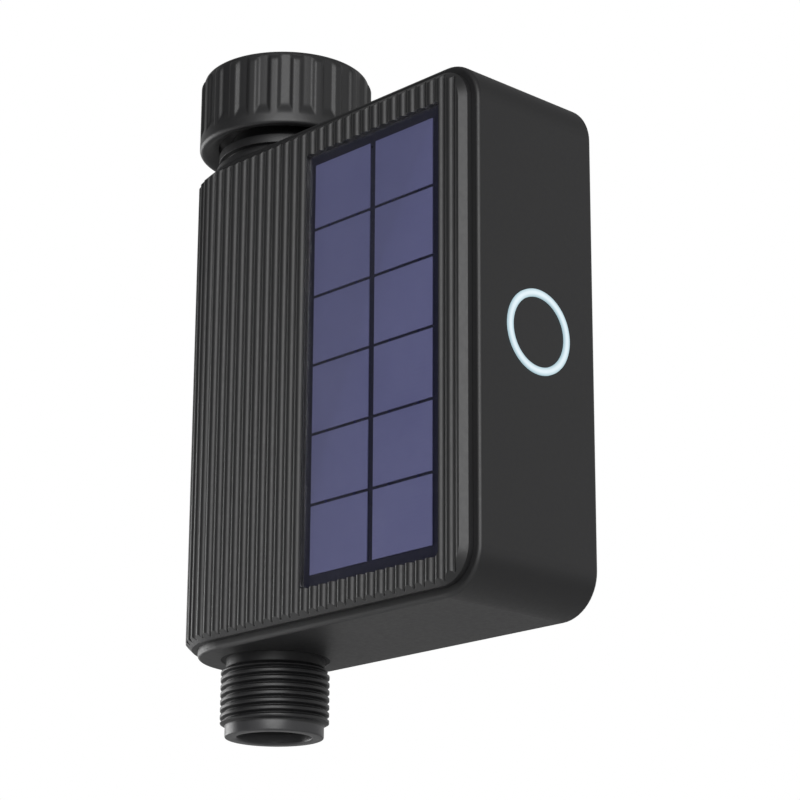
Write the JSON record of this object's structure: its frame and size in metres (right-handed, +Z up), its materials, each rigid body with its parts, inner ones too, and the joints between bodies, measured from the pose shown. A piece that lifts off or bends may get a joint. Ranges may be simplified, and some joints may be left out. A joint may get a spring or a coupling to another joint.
{
  "type": "hose tap water timer",
  "caption": "Solar hose-tap water timer: swivel tap nut above, ribbed case with a solar panel, lit side button, motor-driven ball valve and threaded hose outlet below.",
  "frame": {"origin": "on the waterway's axis where the swivel nut's thread starts, in its open top", "axes": "+Z up along the waterway towards the tap, +X towards the button side, front face with the solar panel towards -Y"},
  "size_m": [0.1114, 0.0442, 0.1717],
  "materials": {
    "case_plastic": "fine matt",
    "nut_plastic": "fine matt",
    "outlet_plastic": "fine matt",
    "button_plastic": "fine matt",
    "valve_plastic": "matt",
    "gearbox_plastic": "satin",
    "gear_plastic": "satin",
    "cam_plastic": "satin",
    "seat_plastic": "satin",
    "holder_plastic": "matt",
    "chip_plastic": "matt",
    "socket_plastic": "satin",
    "plunger_plastic": "gloss",
    "seal_rubber": "matt",
    "washer_rubber": "matt",
    "screw_steel": "zinc plated",
    "stainless": "woven",
    "ball_chrome": "polished",
    "stem_brass": "turned",
    "can_steel": "satin",
    "contact_brass": "sheet",
    "board_green": "solder mask",
    "panel_black": "satin",
    "panel_cells": "satin",
    "ribbon_metal": "tinned",
    "panel_clear": "clear",
    "tape_foam": "foam",
    "cell_wrap": "shrink sleeve",
    "ring_light": "translucent, lit",
    "led_white": "lit",
    "parts_mixed": "satin",
    "wire_red": "satin",
    "wire_black": "satin",
    "wire_white": "satin"
  },
  "bodies": {
    "case": {"rear_shell": "case_plastic", "front_cover": "case_plastic", "case_gasket": "seal_rubber", "case_screws": "screw_steel", "panel_tape": "tape_foam", "panel_board": "panel_black", "solar_cells": "panel_cells", "cell_ribbons": "ribbon_metal", "panel_glass": "panel_clear", "inlet_tail": "valve_plastic", "filter_washer": "washer_rubber", "filter_mesh": "stainless", "tail_oring": "seal_rubber", "valve_body": "valve_plastic", "ball_seats": "seat_plastic", "stem_gland": "valve_plastic", "outlet_spigot": "outlet_plastic", "spigot_oring": "seal_rubber", "neck_seal": "seal_rubber", "outlet_seal": "seal_rubber", "gearbox_base": "gearbox_plastic", "gearbox_cover": "gearbox_plastic", "gearbox_screws": "screw_steel", "gear_pins": "screw_steel", "limit_switches": "chip_plastic", "motor_can": "can_steel", "motor_cap": "holder_plastic", "motor_screws": "screw_steel", "main_board": "board_green", "board_chips": "chip_plastic", "radio_can": "can_steel", "board_sockets": "socket_plastic", "board_parts": "parts_mixed", "board_screws": "screw_steel", "battery_cell": "cell_wrap", "cell_cap": "screw_steel", "battery_holder": "holder_plastic", "battery_contacts": "contact_brass", "ring_board": "board_green", "ring_leds": "led_white", "switch_body": "chip_plastic", "light_ring": "ring_light", "red_leads": "wire_red", "black_leads": "wire_black", "white_leads": "wire_white"},
    "nut": {"swivel_nut": "nut_plastic"},
    "valve": {"ball": "ball_chrome", "valve_stem": "stem_brass", "stem_orings": "seal_rubber", "output_gear": "gear_plastic", "stem_cam": "cam_plastic"},
    "middle_gear": {"gear_2": "gear_plastic"},
    "fast_gear": {"gear_1": "gear_plastic"},
    "rotor": {"motor_pinion": "stem_brass", "motor_shaft": "screw_steel"},
    "button": {"button_cap": "button_plastic", "switch_plunger": "plunger_plastic"}
  },
  "joints": [
    {"name": "nut_spin", "type": "hinge", "parent": "case", "child": "nut", "pos_m": [0, 0, -0.01], "axis": [0, 0, 1], "continuous": true},
    {"name": "valve_turn", "type": "hinge", "parent": "case", "child": "valve", "pos_m": [0, 0, -0.088], "axis": [1, 0, 0], "range_deg": [0, 90]},
    {"name": "gear_2_turn", "type": "hinge", "parent": "case", "child": "middle_gear", "pos_m": [0.025, 0.003, -0.07511], "axis": [1, 0, 0], "range_deg": [-240.5, 0.5]},
    {"name": "gear_1_turn", "type": "hinge", "parent": "case", "child": "fast_gear", "pos_m": [0.028, 0, -0.06223], "axis": [1, 0, 0], "range_deg": [-1, 641]},
    {"name": "motor_turn", "type": "hinge", "parent": "case", "child": "rotor", "pos_m": [0.03, 0.005, -0.04998], "axis": [1, 0, 0], "range_deg": [-1708, 1]},
    {"name": "button_press", "type": "slide", "parent": "case", "child": "button", "axis": [-1, 0, 0], "range_m": [0, 0.0005], "stiffness_N_per_m": 4000}
  ],
  "couplings": [
    {"joint": "gear_2_turn", "follows": "valve_turn", "ratio": -2.6667},
    {"joint": "gear_1_turn", "follows": "valve_turn", "ratio": 7.1111},
    {"joint": "motor_turn", "follows": "valve_turn", "ratio": -18.963}
  ]
}
